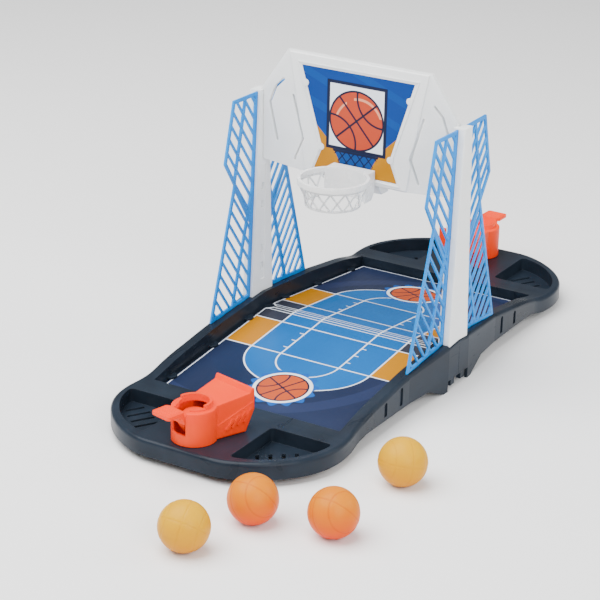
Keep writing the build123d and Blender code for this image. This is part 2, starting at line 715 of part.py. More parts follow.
def launcher_housing():
    """Drum and nose in one shell, open underneath, with the ball seat on top."""
    outer = Pos(0, 0, ride) * Cylinder(drum_radius, drum_height - ride, align=up)
    top_edge = [e for e in outer.edges() if abs(e.center().Z - drum_height) < 0.01]
    outer = fillet(top_edge, 1.0) + wedge(0, ride, 0, nose_lip)
    inner = Pos(0, 0, -1) * Cylinder(drum_radius - housing_wall, drum_height + 1 - housing_wall, align=up)
    inner += wedge(housing_wall, -1, housing_wall)
    shell = outer - inner
    # raised collar round the front of the ball seat
    collar = Pos(0, 0, drum_height - 0.5) * Cylinder(ring_hole + 1.6, collar_rise + 0.5, align=up)
    shell += collar & block(-20, 20, -1, 20, 0, 40)
    shell += Pos(0, 0, drum_height - 0.5) * Cylinder(ring_hole + 1.6, 1.5, align=up)
    shell -= Pos(0, 0, drum_height + 5) * Cylinder(ring_hole, 14)
    # slot at the back for the lever's neck
    half = lever_half + neck_clear
    shell -= block(-half, half, -drum_radius - 2, 2 - ring_hole, slot_foot, drum_height + 5)
    # bosses for the lever's pin
    for side in (-1, 1):
        middle = side * (boss_face + drum_radius) / 2
        boss = Pos(middle, -pin_back, pin_height) * Rot(0, 90, 0) * Cylinder(
            pin_radius + 1.6, drum_radius - boss_face)
        shell += boss & (Pos(0, 0, 2) * Cylinder(drum_radius - 0.4, 60))
    shell -= Pos(0, -pin_back, pin_height) * Rot(0, 90, 0) * Cylinder(
        pin_radius + 0.05, 2 * pin_half_length + 0.4)
    # swept step and four gills on each flank
    flare = math.degrees(math.atan((nose_half - waist_half) / nose_reach))
    for side in (-1, 1):
        tip = nose_reach - 0.6
        rising = [(7.5, 1.2), (tip - 5.4, 1.2), (tip, 12.6), (tip, 18.0), (7.5, 8.6)]
        step = prism(rising, 0, 0.7)
        gills = None
        for count in range(gill_count):
            y = 13.5 + gill_pitch * count
            gill = prism(bar((y, 4.6 + 0.7 * count), (y + 5.0, 10.6 + 1.3 * count), 1.7), 0.3, 1.5)
            gills = gill if gills is None else gills + gill
        flank = Pos(waist_half, 0, 0) * Rot(0, 0, -flare) * (step + gills)
        shell += flank if side > 0 else flank.mirror(Plane.YZ)
    return shell


def launcher_plate():
    """Round plate that closes the drum; its spigot turns in the deck and its peg runs in the arc."""
    radius = drum_radius - housing_wall - running
    disc = Pos(0, 0, ride) * Cylinder(radius, plate_thick, align=up)
    disc += Pos(0, 0, -spigot_depth) * Cylinder(spigot_radius, spigot_depth + 1, align=up)
    disc += Pos(0, 0, 1) * Cylinder(3.2, 6.2, align=up)
    disc += Pos(0, -stop_ring, -wall) * Cylinder(stop_radius, wall + 1, align=up)
    return disc - Pos(0, 0, -spigot_depth - 1) * Cylinder(screw_radius + 0.02, spigot_depth + 8, align=up)


def launcher_lever():
    """Finger paddle, neck, pivot barrel and the striker under the ball, in one piece."""
    y_pin, z_pin = -pin_back, pin_height
    z_low = z_pin + 1.0
    arm = block(-lever_half, lever_half, -12.5, 2.0, z_low, z_low + lever_thick)
    top = drum_height + paddle_rise
    rise = [(-16.0, top - 2.0), (-11.0, z_low), (-11.0, z_low + lever_thick), (-paddle_neck, top), (-16.0, top)]
    arm += prism(rise, -lever_half, lever_half)
    arm += Pos(0, y_pin, z_pin) * Rot(0, 90, 0) * Cylinder(pin_radius + 1.5, 2 * barrel_half)
    striker = Pos(0, striker_ahead, z_low) * Cylinder(striker_half, lever_thick, align=up)
    striker -= Pos(0, striker_ahead, z_low + lever_thick + 25.2) * Sphere(26.2)
    arm += striker
    # paddle: full width from just behind the drum to its tip, with cross ridges for the finger
    tip, neck = -paddle_reach, -paddle_neck
    right = [(lever_half, neck), (paddle_half, neck - 1.2), (paddle_half, tip)]
    plan = make_face(Polyline(*right, *[(-x, y) for x, y in reversed(right)], close=True))
    paddle = extrude(Pos(0, 0, top - 2.0) * plan, amount=2.0, dir=(0, 0, 1))
    corners = [e for e in paddle.edges().filter_by(Axis.Z) if e.center().Y < tip + 0.1]
    arm += fillet(corners, 1.8)
    for count in range(5):
        ridge_y = tip + 1.8 + 2.0 * count
        arm += Pos(0, ridge_y, top) * Rot(0, 90, 0) * Cylinder(0.35, 2 * paddle_half - 2.8)
    return arm - Pos(0, y_pin, z_pin) * Rot(0, 90, 0) * Cylinder(pin_radius + running, 60)


def launcher_spring():
    """Leaf folded into a V, between the plate and the lever's neck, that lifts the paddle."""
    low = ride + plate_thick + 0.3
    high = pin_height + 1.0 - 0.3
    foot = (-leaf_bend, low + leaf_thick / 2)
    tip = (-leaf_back, high - leaf_thick)
    leaf = block(-leaf_half, leaf_half, -leaf_back, -leaf_bend, low, low + leaf_thick)
    leaf += prism(bar(foot, tip, leaf_thick), -leaf_half, leaf_half)
    for y, z in (foot, tip):
        leaf += Pos(0, y, z) * Rot(0, 90, 0) * Cylinder(leaf_thick / 2, 2 * leaf_half)
    leaf += block(-leaf_half, leaf_half, -leaf_back, -leaf_back + 1.4, high - 1.3 * leaf_thick, high)
    return leaf


def launcher_screw():
    """Pan-head screw with a wide flange; it keeps the spigot in the deck."""
    flange_top = -spigot_depth
    flange = Pos(0, 0, flange_top - 1.0) * Cylinder(screw_flange, 1.0, align=up)
    head = Pos(0, 0, flange_top - 2.4) * Cylinder(2.8, 1.5, align=up)
    top_edge = [e for e in head.edges() if abs(e.center().Z - (flange_top - 2.4)) < 0.01]
    head = fillet(top_edge, 0.6)
    shank = Pos(0, 0, flange_top - 0.5) * Cylinder(screw_radius, 8.0, align=up)
    screw = flange + head + shank
    for angle in (0, 90):
        screw -= Pos(0, 0, flange_top - 2.4) * Rot(0, 0, angle) * Box(3.6, 0.7, 1.4)
    return screw


def placed(shape, heading, sign):
    """Stand a launcher piece on a player's deck: sign -1 is the front player."""
    turn = heading if sign < 0 else 180 + heading
    return Pos(0, sign * pivot_reach, deck_height) * Rot(0, 0, turn) * shape


launcher_pieces = {
    "housing": launcher_housing(),
    "base_plate": launcher_plate(),
    "lever": launcher_lever(),
    "return_spring": launcher_spring(),
    "pivot_screw": launcher_screw(),
    "lever_pin": Pos(0, -pin_back, pin_height) * Rot(0, 90, 0) * Cylinder(pin_radius, 2 * pin_half_length),
}
for label, shape in launcher_pieces.items():
    pieces[f"launcher_front_{label}"] = placed(shape, front_heading, -1)
    pieces[f"launcher_rear_{label}"] = placed(shape, rear_heading, 1)


# ======== board screws and balls ========
def board_screws():
    """Four small screws that hold the two board shells together."""
    group = []
    for x in (-board_screw_x, board_screw_x):
        for z in board_screw_z:
            head = Pos(x, shell_thick - 0.8 + 0.35, z) * Rot(90, 0, 0) * Cylinder(1.9, 0.7)
            group.append(head)
    return Compound(children=group)


pieces["board_screws"] = board_screws()

ball_places = {
    "ball_yellow_a": (53.5, -266.5),
    "ball_orange_a": (67.0, -221.0),
    "ball_orange_b": (111.0, -210.5),
    "ball_yellow_b": (112.5, -137.4),
}
for label, (x, y) in ball_places.items():
    pieces[label] = Pos(x, y, ball_radius) * Sphere(ball_radius)

os.makedirs("parts", exist_ok=True)
for label, shape in pieces.items():
    export_step(shape, f"parts/{label}.step")
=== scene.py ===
import bmesh
import bpy
import math
import numpy as np
from mathutils import Matrix, Vector


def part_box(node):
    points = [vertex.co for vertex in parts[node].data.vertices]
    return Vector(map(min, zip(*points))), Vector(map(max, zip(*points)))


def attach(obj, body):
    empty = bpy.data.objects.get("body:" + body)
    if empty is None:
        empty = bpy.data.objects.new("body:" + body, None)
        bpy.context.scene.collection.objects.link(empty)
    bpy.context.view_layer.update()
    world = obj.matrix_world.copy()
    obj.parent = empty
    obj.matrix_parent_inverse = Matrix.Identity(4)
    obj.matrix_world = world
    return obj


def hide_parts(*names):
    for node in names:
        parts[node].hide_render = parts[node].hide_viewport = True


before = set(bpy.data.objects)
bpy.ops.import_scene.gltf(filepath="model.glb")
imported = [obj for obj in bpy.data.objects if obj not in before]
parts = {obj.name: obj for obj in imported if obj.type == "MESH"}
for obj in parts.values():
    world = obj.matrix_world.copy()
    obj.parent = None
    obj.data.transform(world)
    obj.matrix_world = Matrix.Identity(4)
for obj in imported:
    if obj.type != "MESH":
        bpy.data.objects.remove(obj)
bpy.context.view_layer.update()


# ---- the tray ----
# Two equal halves of injection-moulded ABS in dark navy, plugged together under the court.
# The tool gives them a fine spark-eroded grain with a satin shine; the rounded edges are painted paler in
# patches, partly handling wear and partly a painted highlight, and the wide flat decks show faint flow
# marks.
def ink(code):
    """sRGB hex colour to linear: a channel c is c / 12.92 when small, else
    ((c + 0.055) / 1.055) ** 2.4."""
    channels = [int(code[i:i + 2], 16) / 255 for i in (1, 3, 5)]
    return tuple(c / 12.92 if c <= 0.04045 else ((c + 0.055) / 1.055) ** 2.4 for c in channels) + (1.0,)


def add(material, kind, links=(), **settings):
    """Adds one node with its settings, and fills its sockets with values or other nodes' outputs."""
    node = material.node_tree.nodes.new("ShaderNode" + kind)
    for key, value in settings.items():
        setattr(node, key, value)
    for socket, value in dict(links).items():
        if isinstance(value, bpy.types.NodeSocket):
            material.node_tree.links.new(value, node.inputs[socket])
        else:
            node.inputs[socket].default_value = value
    return node


def new_finish(name):
    """A node material, and its shader."""
    material = bpy.data.materials.new(name)
    material.use_nodes = True
    return material, material.node_tree.nodes["Principled BSDF"]


def moulded_plastic(name, body, pale, grain_mm, grain_depth, rough, scatter=0.0, scatter_tint=None):
    """Injection-moulded plastic: a pigment that drifts a little over 22 mm, a grain of grain_mm in the
    surface, uneven gloss, fine handling scratches, and edges rounded to 0.45 mm, painted paler in patches
    as wear and a painted highlight.
    Scatter is the share of light that passes under the skin, about 4 mm deep at most."""
    flow_mm, edge_round = 22.0, 0.00045
    m, shader = new_finish(name)
    place = add(m, "TexCoord").outputs["Object"]
    stretched = add(m, "Mapping", {"Vector": place, "Scale": (1.0, 0.45, 1.0)}).outputs[0]
    flow = add(m, "TexNoise", {
        "Vector": stretched, "Scale": 1000 / flow_mm, "Detail": 3.0, "Distortion": 0.8}).outputs[0]
    drift = add(m, "MapRange", {"Value": flow, 1: 0.32, 2: 0.68, 3: 0.0, 4: 1.0}).outputs[0]
    soft_edge = add(m, "Bevel", {"Radius": edge_round}, samples=4).outputs[0]
    face = add(m, "NewGeometry").outputs["True Normal"]
    match = add(m, "VectorMath", {0: soft_edge, 1: face}, operation="DOT_PRODUCT").outputs["Value"]
    edge = add(m, "MapRange", {"Value": match, 1: 0.985, 2: 0.80, 3: 0.0, 4: 1.0}).outputs[0]
    patchy = add(m, "TexNoise", {"Vector": place, "Scale": 260.0, "Detail": 4.0}).outputs[0]
    # painted highlight and wear: rounded edges get a brightened pale colour in patches, at most three
    # quarters of the way
    edge_wear_and_highlight = add(m, "Math", {0: edge, 1: patchy}, operation="MULTIPLY").outputs[0]
    edge_wear_and_highlight = add(m, "Math", {0: edge_wear_and_highlight, 1: 0.75}, operation="MULTIPLY").outputs[0]
    tint = add(m, "Mix", {0: drift, 6: ink(body), 7: ink(pale)}, data_type="RGBA").outputs[2]
    worn_and_lit_tint = tuple(min(1.0, c * 1.25 + 0.012) for c in ink(pale)[:3]) + (1.0,)
    tint = add(m, "Mix", {0: edge_wear_and_highlight, 6: tint, 7: worn_and_lit_tint}, data_type="RGBA").outputs[2]
    grain = add(m, "TexNoise", {"Vector": place, "Scale": 1000 / grain_mm, "Detail": 2.0}).outputs[0]
    hair = add(m, "Mapping", {
        "Vector": place, "Rotation": (0.4, 0.3, 0.9), "Scale": (1.0, 0.06, 1.0)}).outputs[0]
    hair = add(m, "TexNoise", {"Vector": hair, "Scale": 900.0, "Detail": 1.0}).outputs[0]
    scratch = add(m, "MapRange", {"Value": hair, 1: 0.70, 2: 0.78, 3: 0.0, 4: 1.0}).outputs[0]
    shine = add(m, "MapRange", {
        "Value": flow, 1: 0.3, 2: 0.7, 3: rough - 0.05, 4: rough + 0.06}).outputs[0]
    shine = add(m, "Math", {0: scratch, 1: 0.16, 2: shine}, operation="MULTIPLY_ADD").outputs[0]
    height = add(m, "Math", {0: scratch, 1: -0.35, 2: grain}, operation="MULTIPLY_ADD").outputs[0]
    bump = add(m, "Bump", {
        "Strength": 0.35, "Distance": grain_depth / 1000, "Height": height, "Normal": soft_edge}).outputs[0]
    m.node_tree.links.new(tint, shader.inputs["Base Color"])
    m.node_tree.links.new(shine, shader.inputs["Roughness"])
    m.node_tree.links.new(bump, shader.inputs["Normal"])
    shader.inputs["IOR"].default_value = 1.53
    shader.inputs["Specular IOR Level"].default_value = 0.12
    if scatter:
        shader.inputs["Subsurface Weight"].default_value = scatter
        shader.inputs["Subsurface Radius"].default_value = scatter_tint
        shader.inputs["Subsurface Scale"].default_value = 0.004
    return m


def dress(material, *names):
    """Gives CAD pieces a finish in all their material slots."""
    for name in names:
        slots = parts[name].data.materials
        if not slots:
            slots.append(material)
        for index in range(len(slots)):
            slots[index] = material


navy_abs = moulded_plastic("navy_abs_moulded_satin", "#192029", "#212a35", 0.55, 0.05, 0.30)
dress(navy_abs, "base_half_front", "base_half_rear")


# ---- the court cards ----
# Each half of the court is a printed card under clear film, cut with two corners off, that
# snaps under the keepers on the well's walls. Lines are white ink about 1 mm wide over blue,
# amber and slate fields; the film is satin, with faint rub marks. Sizes in mm, as in the card.
court = {
    "half_width": 63.0, "near": 0.4, "far": 124.0, "corner": 5.0,
    "height": 22.0, "fall": 0.102, "thick": 0.8,
}
court_lines = {
    "outer": 42.2, "inner": 20.7, "near": 4.1, "box": 15.9, "top": 51.8,
    "outer_bow": 35.5, "inner_bow": 21.0, "ticks": (24.0, 33.7, 43.4), "half_wide": 0.5,
}


def sheet_mesh(name, points, fields=()):
    """A grid of points (rows, columns, xyz in mm) made a mesh in metres, one four-sided face for each
    cell; each field is one number a point, kept as an attribute."""
    rows, columns = points.shape[:2]
    mesh = bpy.data.meshes.new(name)
    number = np.arange(rows * columns).reshape(rows, columns)
    corners = [number[:-1, :-1], number[1:, :-1], number[1:, 1:], number[:-1, 1:]]
    quads = np.stack(corners, -1).reshape(-1, 4)
    mesh.from_pydata((points.reshape(-1, 3) / 1000).tolist(), [], quads.tolist())
    for label, values in dict(fields).items():
        layer = mesh.attributes.new(label, "FLOAT", "POINT")
        layer.data.foreach_set("value", np.ascontiguousarray(values.reshape(-1), np.float32))
    mesh.polygons.foreach_set("use_smooth", np.ones(len(quads), bool))
    mesh.update()
    piece = bpy.data.objects.new(name, mesh)
    bpy.context.scene.collection.objects.link(piece)
    return piece


def oval(x, y, a, b):
    """Distance to an ellipse of half axes a and b: (r - 1) over the length of its gradient, with
    r = sqrt((x / a) ** 2 + (y / b) ** 2); negative inside."""
    r = np.sqrt((x / a) ** 2 + (y / b) ** 2) + 1e-9
    slope = np.sqrt((x / a ** 2) ** 2 + (y / b ** 2) ** 2) / r
    return (r - 1) / np.maximum(slope, 1e-6)


def rectangle(x, y, x0, x1, y0, y1):
    """Distance to a rectangle's edge, negative inside: the larger of the distances past its sides."""
    return np.maximum(np.abs(x - (x0 + x1) / 2) - (x1 - x0) / 2, np.abs(y - (y0 + y1) / 2) - (y1 - y0) / 2)


def both(*shapes):
    """Where all the shapes overlap: the largest distance."""
    return np.maximum.reduce(shapes)


def either(*shapes):
    """Where any of the shapes is: the smallest distance."""
    return np.minimum.reduce(shapes)


def ball_drawing(x, y, radius, line, turn):
    """Seams of a drawn ball: a cross of two lines through its middle, and an arc of 0.95 radius
    centred 1.28 radii to each side, turned by an angle and cut off at the ball's edge."""
    c, s = math.cos(turn), math.sin(turn)
    p, q = x * c + y * s, y * c - x * s
    arcs = [np.abs(np.hypot(p - side * 1.28 * radius, q) - 0.95 * radius) - line for side in (-1, 1)]
    cross = either(np.abs(p) - line, np.abs(q) - line, *arcs)
    rim = np.abs(np.hypot(x, y) - radius) - line
    return either(both(cross, np.hypot(x, y) - radius), rim)


def court_print(x, d):
    """Ink fields of one court card as distances in mm, from across x and from the middle d."""
    k = court_lines
    wide, edge = k["half_wide"], court["half_width"]
    beyond = d - k["top"]
    inside = both(np.abs(x) - k["outer"], beyond)
    bow = both(oval(x, beyond, k["outer"], k["outer_bow"]), -beyond)
    small_bow = np.abs(oval(x, beyond, k["inner"], k["inner_bow"])) - wide
    blue = either(inside, bow)
    lines = [
        both(np.abs(np.abs(x) - k["outer"]) - wide, beyond),
        both(np.abs(np.abs(x) - k["inner"]) - wide, beyond),
        both(np.abs(oval(x, beyond, k["outer"], k["outer_bow"])) - wide, -beyond),
        both(small_bow, -beyond),
        both(np.abs(d - k["near"]) - wide * 0.8, np.abs(x) - edge + 1),
        both(np.abs(d - k["box"]) - wide, np.abs(x) - edge + 1),
        both(np.abs(d - k["top"]) - wide, np.abs(x) - edge + 1),
    ]
    for tick in k["ticks"]:
        lines.append(rectangle(np.abs(x), d, k["inner"], k["inner"] + 3.6, tick - 0.4, tick + 0.4))
    trim = (edge - 1.3) - np.abs(x)
    trim = np.minimum(trim, np.minimum(court["far"] - 1.6 - d, d - court["near"] - 1.0))
    trim = np.minimum(trim, (edge + d - court["corner"] - 1.6 - np.abs(x)) / math.sqrt(2))
    lines.append(np.abs(trim) - 0.4)
    amber = rectangle(np.abs(x), d, k["outer"], edge - 1.3, k["box"], k["top"])
    slate = rectangle(np.abs(x), d, k["outer"], edge + 2, -5.0, k["box"])
    # a plain ball roundel where the card carries its ornament
    u, v = x - 3.0, d - 88.0
    far_from = np.hypot(u, v)
    around = np.arctan2(v, u)
    rays = far_from - (20.6 + 1.7 * np.cos(14 * around))
    return {
        "slate": slate, "blue": blue, "amber": amber, "line": either(*lines),
        "rays": rays, "halo": far_from - 18.4, "ball": far_from - 16.2,
        "seam": ball_drawing(u, v, 15.6, 0.55, 0.5),
        "sweep": np.abs(np.hypot(x + 30, d - 30) - 92) - 5.0,
    }


def court_card(name, side):
    """Card as a sheet: x = across * half width, which narrows by the cut corner, and height falls in
    a straight line from the middle of the game; side is -1 for the front player."""
    rows, columns = 190, 190
    d = np.linspace(court["near"], court["far"], rows)[:, None] * np.ones(columns)
    half = np.minimum(court["half_width"], court["half_width"] - court["corner"] + d - court["near"])
    x = np.linspace(-1, 1, columns)[None, :] * half
    z = court["height"] - court["fall"] * d
    points = np.stack([x * -side, side * d, z], -1)
    piece = sheet_mesh(name, points, court_print(x, d))
    body = piece.modifiers.new("board", "SOLIDIFY")
    body.thickness, body.offset = court["thick"] / 1000, -1.0
    return piece


def printed_film(name, paper, inks, coat=0.03, rough=0.30):
    """Printed sheet under satin film: inks laid over each other in order, each where its field is
    under zero, a mottle of the press in every ink, and faint rub marks in the film."""
    m, shader = new_finish(name)
    place = add(m, "TexCoord").outputs["Object"]
    broad = add(m, "TexNoise", {"Vector": place, "Scale": 22.0, "Detail": 1.0}).outputs[0]
    mottle = add(m, "TexNoise", {"Vector": place, "Scale": 1000 / 0.6, "Detail": 2.0}).outputs[0]
    tint = add(m, "Mix", {0: broad, 6: ink(paper[0]), 7: ink(paper[1])}, data_type="RGBA").outputs[2]
    for field, first, second in inks:
        distance = add(m, "Attribute", attribute_name=field).outputs["Fac"]
        cover = add(m, "MapRange", {"Value": distance, 1: -0.12, 2: 0.12, 3: 1.0, 4: 0.0}).outputs[0]
        shade = add(m, "Mix", {0: broad, 6: ink(first), 7: ink(second)}, data_type="RGBA").outputs[2]
        tint = add(m, "Mix", {0: cover, 6: tint, 7: shade}, data_type="RGBA").outputs[2]
    speck = add(m, "MapRange", {"Value": mottle, 1: 0.3, 2: 0.7, 3: 0.95, 4: 1.04}).outputs[0]
    tint = add(m, "VectorMath", {0: tint, "Scale": speck}, operation="SCALE").outputs[0]
    rub = add(m, "Mapping", {
        "Vector": place, "Rotation": (0, 0, 0.7), "Scale": (1.0, 0.08, 1.0)}).outputs[0]
    rub = add(m, "TexNoise", {"Vector": rub, "Scale": 600.0, "Detail": 2.0}).outputs[0]
    dull = add(m, "MapRange", {"Value": rub, 1: 0.45, 2: 0.75, 3: rough, 4: rough + 0.06}).outputs[0]
    wave = add(m, "TexNoise", {"Vector": place, "Scale": 60.0, "Detail": 1.0}).outputs[0]
    bump = add(m, "Bump", {"Strength": 0.06, "Distance": 0.0004, "Height": wave}).outputs[0]
    m.node_tree.links.new(tint, shader.inputs["Base Color"])
    m.node_tree.links.new(dull, shader.inputs["Roughness"])
    m.node_tree.links.new(bump, shader.inputs["Normal"])
    shader.inputs["Specular IOR Level"].default_value = 0.14
    shader.inputs["Coat Weight"].default_value = coat
    shader.inputs["Coat Roughness"].default_value = 0.12
    return m


court_film = printed_film("court_print_laminated_card", ("#182238", "#232c48"), (
    ("sweep", "#202a48", "#2a3350"), ("slate", "#2b2d38", "#34363f"), ("blue", "#00508f", "#0a66ac"),
    ("amber", "#b07000", "#b67800"), ("line", "#e4e9f0", "#dbe2ec"), ("rays", "#0b4a94", "#1457a4"),
    ("halo", "#e8ecf2", "#e0e5ec"), ("ball", "#b0441c", "#b85024"), ("seam", "#141a2c", "#1a2034")))
for player, side in (("front", -1), ("rear", 1)):
    card = court_card(f"court_card_{player}_printed", side)
    card.data.materials.append(court_film)
    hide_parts(f"court_card_{player}")
    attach(card, "base")


# ---- the towers ----
# Two tapered columns of white styrene carry the board; four lattice panels of bright cyan
# styrene plug into the columns and the rim. All are thin satin mouldings with slight glow.
white_styrene = moulded_plastic("white_styrene_moulded_satin", "#edf0f0", "#f2f4f4", 0.7, 0.03, 0.36,
                                0.12, (1.0, 0.95, 0.9))
dress(white_styrene, "tower_column_left", "tower_column_right")
cyan_styrene = moulded_plastic("cyan_styrene_moulded_satin", "#0079cc", "#0088da", 0.6, 0.03, 0.34,
                               0.10, (0.3, 0.8, 1.0))
for hand in ("left", "right"):
    dress(cyan_styrene, f"lattice_{hand}_front", f"lattice_{hand}_rear")


# ---- the backboard ----
# Two white shells screwed back to back; each holds a printed card in a recess under four
# half-round keepers. The card shows a ball in a square frame over a plain drawn net.
dress(white_styrene, "backboard_front_shell", "backboard_rear_shell")
board_card = {
    "top": (39.0, 186.7), "waist": (23.5, 136.4), "foot": (29.1, 122.9), "face": 2.4, "thick": 0.5,
}


def board_print(x, z):
    """Ink fields of a board card as distances in mm: amber under a shallow V, a navy square frame
    with a ball that just fits inside it, and below it a net of crossing strands."""
    lift = z - 157.3
    r = np.hypot(x, lift)
    frame_out = rectangle(x, z, -21.0, 21.0, 137.2, 181.0)
    frame_in = rectangle(x, z, -18.9, 18.9, 139.3, 178.9)
    amber = (z - np.abs(x) * 0.95 - 124.0) * 0.72
    taper = 15.5 - (137.2 - z) * 0.55
    patch = both(np.abs(x) - taper, z - 137.2, 126.2 - z)
    strands = []
    for lean in (-1, 1):
        phase = (x + lean * (137.2 - z) * 0.85) / 6.2
        strands.append((np.abs(phase - np.round(phase)) * 6.2 - 0.5) * 0.76)
    hem = np.abs(z - 136.6) - 0.9
    net = both(either(*strands, hem), np.abs(x) - taper - 0.8, 125.6 - z, z - 137.2)
    shine = both(np.abs(np.hypot(x - 2.0, lift + 2.0) - 16.0) - 0.8, -(x + 2.0), -(lift - 4.0), r - 18.4)
    left = np.abs(np.hypot(x - 4.0, lift + 5.0) - 19.0) - 0.7
    shine = either(shine, both(left, x + 7.0, -(lift - 1.0), r - 17.6))
    band = (x * 0.4 + z) / 17.0
    return {
        "streak": np.abs(band - np.round(band)) * 17.0 - 2.6,
        "amber": amber, "net_patch": patch, "frame_out": frame_out, "frame_in": frame_in,
        "ball": both(r - 19.0, frame_in), "shine": shine,
        "seam": both(ball_drawing(x, lift, 18.6, 0.62, 0.72), frame_in - 0.4),
        "net": net,
    }


def backboard_card(name, side):
    """Card as an upright sheet: x = across * half width, which runs straight between the outline's
    corners; side is -1 for the front player."""
    rows, columns = 170, 170
    z = np.linspace(board_card["foot"][1], board_card["top"][1], rows)
    corners = [board_card[key] for key in ("foot", "waist", "top")]
    half = np.interp(z, [c[1] for c in corners], [c[0] for c in corners])
    z = z[:, None] * np.ones(columns)
    x = np.linspace(-1, 1, columns)[None, :] * half[:, None]
    points = np.stack([x * -side, np.full_like(x, side * board_card["face"]), z], -1)[:, ::-1]
    piece = sheet_mesh(name, points, {k: v[:, ::-1] for k, v in board_print(x, z).items()})
    body = piece.modifiers.new("card", "SOLIDIFY")
    body.thickness, body.offset = board_card["thick"] / 1000, -1.0
    return piece


board_film = printed_film("board_print_laminated_paper", ("#00337a", "#003c86"), (
    ("streak", "#003a82", "#00448e"), ("amber", "#b07200", "#b67a00"), ("net_patch", "#033878", "#064286"),
    ("frame_out", "#0e1630", "#131b38"), ("frame_in", "#dfe6f0", "#e6ecf4"), ("ball", "#b03c22", "#b8462a"),
    ("shine", "#d88a68", "#e09878"), ("seam", "#10162c", "#151b34"),
    ("net", "#0e1630", "#131b38")), coat=0.0, rough=0.34)
for player, side in (("front", -1), ("rear", 1)):
    card = backboard_card(f"backboard_card_{player}_printed", side)
    card.data.materials.append(board_film)
    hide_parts(f"backboard_card_{player}")
    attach(card, "base")


# ---- hoops and nets ----
# Rings and nets are moulded in natural polypropylene: milky, glossy and slightly see-through,
# so light passes into the thin strands and the ring's lip.
def milky_plastic(name, body, see_through, rough):
    """Natural polypropylene: milky scatter over 2 mm, a little light straight through, a glossy skin,
    and edges rounded to 0.3 mm."""
    m, shader = new_finish(name)
    place = add(m, "TexCoord").outputs["Object"]
    cloud = add(m, "TexNoise", {"Vector": place, "Scale": 180.0, "Detail": 3.0}).outputs[0]
    tint = add(m, "Mix", {0: cloud, 6: ink(body[0]), 7: ink(body[1])}, data_type="RGBA").outputs[2]
    grain = add(m, "TexNoise", {"Vector": place, "Scale": 1000 / 0.4, "Detail": 2.0}).outputs[0]
    soft_edge = add(m, "Bevel", {"Radius": 0.0003}, samples=4).outputs[0]
    bump = add(m, "Bump", {
        "Strength": 0.3, "Distance": 0.00003, "Height": grain, "Normal": soft_edge}).outputs[0]
    shine = add(m, "MapRange", {"Value": cloud, 1: 0.3, 2: 0.7, 3: rough, 4: rough + 0.08}).outputs[0]
    m.node_tree.links.new(tint, shader.inputs["Base Color"])
    m.node_tree.links.new(shine, shader.inputs["Roughness"])
    m.node_tree.links.new(bump, shader.inputs["Normal"])
    shader.inputs["IOR"].default_value = 1.49
    shader.inputs["Specular IOR Level"].default_value = 0.4
    shader.inputs["Transmission Weight"].default_value = see_through
    shader.inputs["Subsurface Weight"].default_value = 0.25
    shader.inputs["Subsurface Radius"].default_value = (1.0, 1.0, 1.0)
    shader.inputs["Subsurface Scale"].default_value = 0.002
    return m


milky_ring = milky_plastic("natural_polypropylene_ring", ("#f0f2f1", "#f5f6f5"), 0.10, 0.22)
milky_net = milky_plastic("natural_polypropylene_net", ("#e2e6e6", "#eceeee"), 0.24, 0.24)
dress(milky_ring, "hoop_front", "hoop_rear")
dress(milky_net, "net_front", "net_rear")


# ---- launchers ----
# Orange ABS housings turn on the deck; the finger paddle is a lever on a steel pin, pushed
# back up by a folded leaf of the same plastic, which glows red inside, where light has passed
# through it.
orange_abs = moulded_plastic("orange_abs_moulded_satin", "#f43404", "#f6420a", 0.5, 0.04, 0.36,
                             0.20, (1.0, 0.3, 0.08))


def plated_steel(name):
    """Turned steel under bright zinc: a fine drawn mottle of 0.5 mm in its colour and its gloss."""
    m, shader = new_finish(name)
    place = add(m, "TexCoord").outputs["Object"]
    drawn = add(m, "TexNoise", {"Vector": place, "Scale": 1000 / 0.5, "Detail": 3.0}).outputs[0]
    zinc = add(m, "Mix", {0: drawn, 6: ink("#a9adb2"), 7: ink("#c6c9cc")}, data_type="RGBA").outputs[2]
    dull = add(m, "MapRange", {"Value": drawn, 1: 0.3, 2: 0.7, 3: 0.24, 4: 0.42}).outputs[0]
    shader.inputs["Metallic"].default_value = 1.0
    m.node_tree.links.new(zinc, shader.inputs["Base Color"])
    m.node_tree.links.new(dull, shader.inputs["Roughness"])
    return m


bright_steel = plated_steel("steel_turned_zinc_plated")
for player in ("front", "rear"):
    for label in ("housing", "base_plate", "lever", "return_spring"):
        dress(orange_abs, f"launcher_{player}_{label}")
    for label in ("pivot_screw", "lever_pin"):
        dress(bright_steel, f"launcher_{player}_{label}")
dress(bright_steel, "board_screws")


